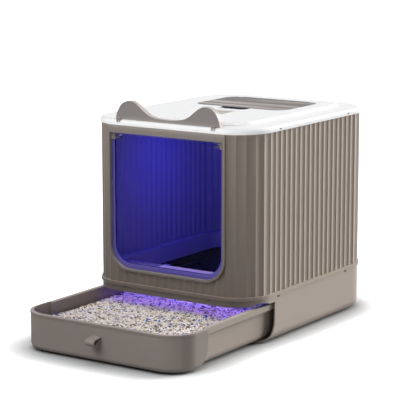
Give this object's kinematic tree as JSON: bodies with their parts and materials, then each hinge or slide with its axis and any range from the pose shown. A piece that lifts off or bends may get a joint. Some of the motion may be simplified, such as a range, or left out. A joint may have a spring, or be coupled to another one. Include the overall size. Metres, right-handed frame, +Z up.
{
  "type": "drawer litter box",
  "caption": "Enclosed litter box with a pull-out litter drawer, fluted walls, a clear swing flap, a white lid with ear plate, hatch and inside lamp.",
  "frame": {"origin": "middle of the whole footprint on the floor, with the drawer partly open as stored", "axes": "+X to the object's left as it faces the viewer's -Y side, +Y to its back, +Z up; the drawer opens towards -Y"},
  "size_m": [0.416, 0.7775, 0.492],
  "materials": {
    "taupe_base": "satin, fine moulded grain",
    "taupe_fluted": "satin, moulded flutes",
    "taupe_frame": "satin",
    "taupe_deck": "satin",
    "taupe_ears": "satin",
    "taupe_hatch": "semi-gloss",
    "taupe_cover": "satin",
    "taupe_tray": "satin, fine moulded grain",
    "taupe_front": "satin, fine moulded grain",
    "taupe_tab": "satin",
    "white_lid": "satin white",
    "clear_flap": "clear, polished",
    "flap_edge": "clear, frosted",
    "foot_rubber": "matt black",
    "nylon": "natural nylon",
    "dark_plastic": "matt black",
    "steel": "plain",
    "contact_steel": "plated spring sheet",
    "lamp_white": "satin white",
    "circuit_board": "green solder mask",
    "led": "clear epoxy",
    "lamp_lens": "frosted, lit violet",
    "switch_black": "matt black",
    "cell_wrap": "shrink sleeve",
    "litter": "loose pressed pellets, pale with blue and brown ones",
    "button_grey": "satin"
  },
  "bodies": {
    "housing": {"base_housing": "taupe_base", "base_feet": "foot_rubber", "runner_left": "dark_plastic", "runner_right": "dark_plastic", "upper_shell": "taupe_fluted", "shell_clips": "dark_plastic", "entry_frame": "taupe_frame", "inner_deck": "taupe_deck"},
    "drawer": {"drawer_tray": "taupe_tray", "drawer_front": "taupe_front", "pull_tab": "taupe_tab", "drawer_feet": "foot_rubber", "drawer_stops": "nylon", "litter_fill": "litter"},
    "flap": {"entry_flap": "clear_flap", "flap_rim": "flap_edge", "flap_pins": "steel"},
    "lid": {"lid_cover": "white_lid", "lid_clips": "dark_plastic", "rear_catch": "dark_plastic", "ear_plate": "taupe_ears", "hatch_pins": "steel", "lamp_case": "lamp_white", "lamp_board": "circuit_board", "lamp_leds": "led", "lamp_lens": "lamp_lens", "lamp_switch": "switch_black", "battery_cells": "cell_wrap", "battery_contacts": "contact_steel"},
    "hatch": {"hatch_cover": "taupe_hatch"},
    "lamp_cover": {"lamp_cover": "taupe_cover"},
    "lamp_button": {"lamp_button": "button_grey"}
  },
  "joints": [
    {"name": "drawer_slide", "type": "slide", "parent": "housing", "child": "drawer", "axis": [0, -1, 0], "range_m": [-0.24, 0.145]},
    {"name": "flap_swing", "type": "hinge", "parent": "housing", "child": "flap", "pos_m": [0, -0.11675, 0.414], "axis": [1, 0, 0], "range_deg": [-75, 75]},
    {"name": "lid_lift", "type": "slide", "parent": "housing", "child": "lid", "axis": [0, 0, 1], "range_m": [0, 0.12]},
    {"name": "hatch_hinge", "type": "hinge", "parent": "lid", "child": "hatch", "pos_m": [0, 0.30875, 0.4558], "axis": [-1, 0, 0], "range_deg": [0, 95]},
    {"name": "lamp_cover_lift", "type": "slide", "parent": "lid", "child": "lamp_cover", "axis": [0, 0, 1], "range_m": [0, 0.03]},
    {"name": "lamp_button_press", "type": "slide", "parent": "lamp_cover", "child": "lamp_button", "axis": [0, 0, -1], "range_m": [0, 0.0015], "stiffness_N_per_m": 300, "springref_m": -0.001}
  ]
}
